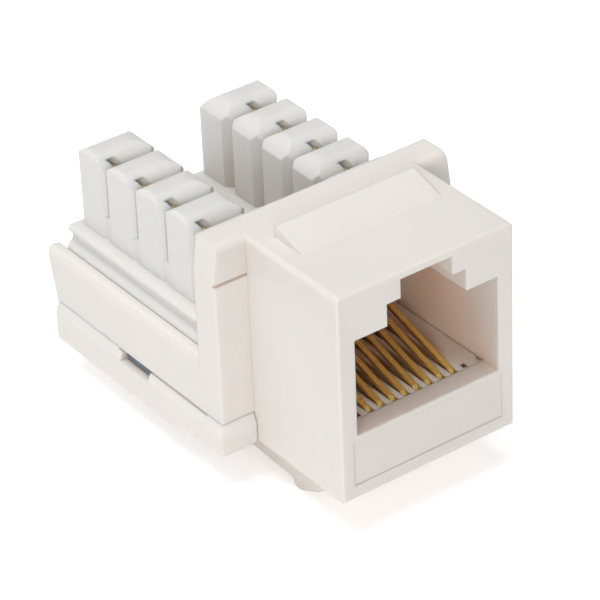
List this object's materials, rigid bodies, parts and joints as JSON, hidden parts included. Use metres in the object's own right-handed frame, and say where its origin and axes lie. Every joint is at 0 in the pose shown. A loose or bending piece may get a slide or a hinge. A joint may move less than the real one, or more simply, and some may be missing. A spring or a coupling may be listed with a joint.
{
  "type": "rj45 keystone jack",
  "caption": "White snap-in RJ45 keystone jack: stepped plug port, stop flange, flexible panel latch and two rows of arched punch-down towers with brass blades.",
  "frame": {"origin": "middle of the jack's footprint at the height of its lowest point, the latch hook", "axes": "-Y is the port face that shows in the wall plate, +Y the cable side, +Z the side the towers stand on, +X to the right when looking into the port with the towers up"},
  "size_m": [0.0206, 0.031, 0.0203],
  "materials": {
    "housing_plastic": "satin warm white moulded ABS",
    "cover_plastic": "satin warm white moulded ABS",
    "idc_plastic": "satin cool white moulded polycarbonate",
    "carrier_plastic": "satin warm white moulded nylon",
    "board": "dark blue solder mask on glass-epoxy laminate",
    "contact_gold": "gold-plated phosphor bronze wire",
    "clip_brass": "tinned brass, slightly dull"
  },
  "bodies": {
    "housing": {"front_housing": "housing_plastic", "idc_block": "idc_plastic", "bottom_cover": "cover_plastic", "contact_carrier": "carrier_plastic", "circuit_board": "board", "contact_leg_1": "contact_gold", "contact_leg_2": "contact_gold", "contact_leg_3": "contact_gold", "contact_leg_4": "contact_gold", "contact_leg_5": "contact_gold", "contact_leg_6": "contact_gold", "contact_leg_7": "contact_gold", "contact_leg_8": "contact_gold", "idc_clip_1": "clip_brass", "idc_clip_2": "clip_brass", "idc_clip_3": "clip_brass", "idc_clip_4": "clip_brass", "idc_clip_5": "clip_brass", "idc_clip_6": "clip_brass", "idc_clip_7": "clip_brass", "idc_clip_8": "clip_brass"},
    "latch": {"latch_arm": "housing_plastic"},
    "contact_1": {"contact_tine_1": "contact_gold"},
    "contact_2": {"contact_tine_2": "contact_gold"},
    "contact_3": {"contact_tine_3": "contact_gold"},
    "contact_4": {"contact_tine_4": "contact_gold"},
    "contact_5": {"contact_tine_5": "contact_gold"},
    "contact_6": {"contact_tine_6": "contact_gold"},
    "contact_7": {"contact_tine_7": "contact_gold"},
    "contact_8": {"contact_tine_8": "contact_gold"}
  },
  "joints": [
    {"name": "latch_flex", "type": "hinge", "parent": "housing", "child": "latch", "pos_m": [0, -0.01245, 0.00266], "axis": [1, 0, 0], "range_deg": [0, 8], "stiffness_Nm_per_rad": 0.25},
    {"name": "contact_flex_1", "type": "hinge", "parent": "housing", "child": "contact_1", "pos_m": [-0.00356, -0.01305, 0.00755], "axis": [1, 0, 0], "range_deg": [-12, 0], "stiffness_Nm_per_rad": 0.02},
    {"name": "contact_flex_2", "type": "hinge", "parent": "housing", "child": "contact_2", "pos_m": [-0.00254, -0.01305, 0.00755], "axis": [1, 0, 0], "range_deg": [-12, 0], "stiffness_Nm_per_rad": 0.02},
    {"name": "contact_flex_3", "type": "hinge", "parent": "housing", "child": "contact_3", "pos_m": [-0.00152, -0.01305, 0.00755], "axis": [1, 0, 0], "range_deg": [-12, 0], "stiffness_Nm_per_rad": 0.02},
    {"name": "contact_flex_4", "type": "hinge", "parent": "housing", "child": "contact_4", "pos_m": [-0.00051, -0.01305, 0.00755], "axis": [1, 0, 0], "range_deg": [-12, 0], "stiffness_Nm_per_rad": 0.02},
    {"name": "contact_flex_5", "type": "hinge", "parent": "housing", "child": "contact_5", "pos_m": [0.00051, -0.01305, 0.00755], "axis": [1, 0, 0], "range_deg": [-12, 0], "stiffness_Nm_per_rad": 0.02},
    {"name": "contact_flex_6", "type": "hinge", "parent": "housing", "child": "contact_6", "pos_m": [0.00152, -0.01305, 0.00755], "axis": [1, 0, 0], "range_deg": [-12, 0], "stiffness_Nm_per_rad": 0.02},
    {"name": "contact_flex_7", "type": "hinge", "parent": "housing", "child": "contact_7", "pos_m": [0.00254, -0.01305, 0.00755], "axis": [1, 0, 0], "range_deg": [-12, 0], "stiffness_Nm_per_rad": 0.02},
    {"name": "contact_flex_8", "type": "hinge", "parent": "housing", "child": "contact_8", "pos_m": [0.00356, -0.01305, 0.00755], "axis": [1, 0, 0], "range_deg": [-12, 0], "stiffness_Nm_per_rad": 0.02}
  ]
}
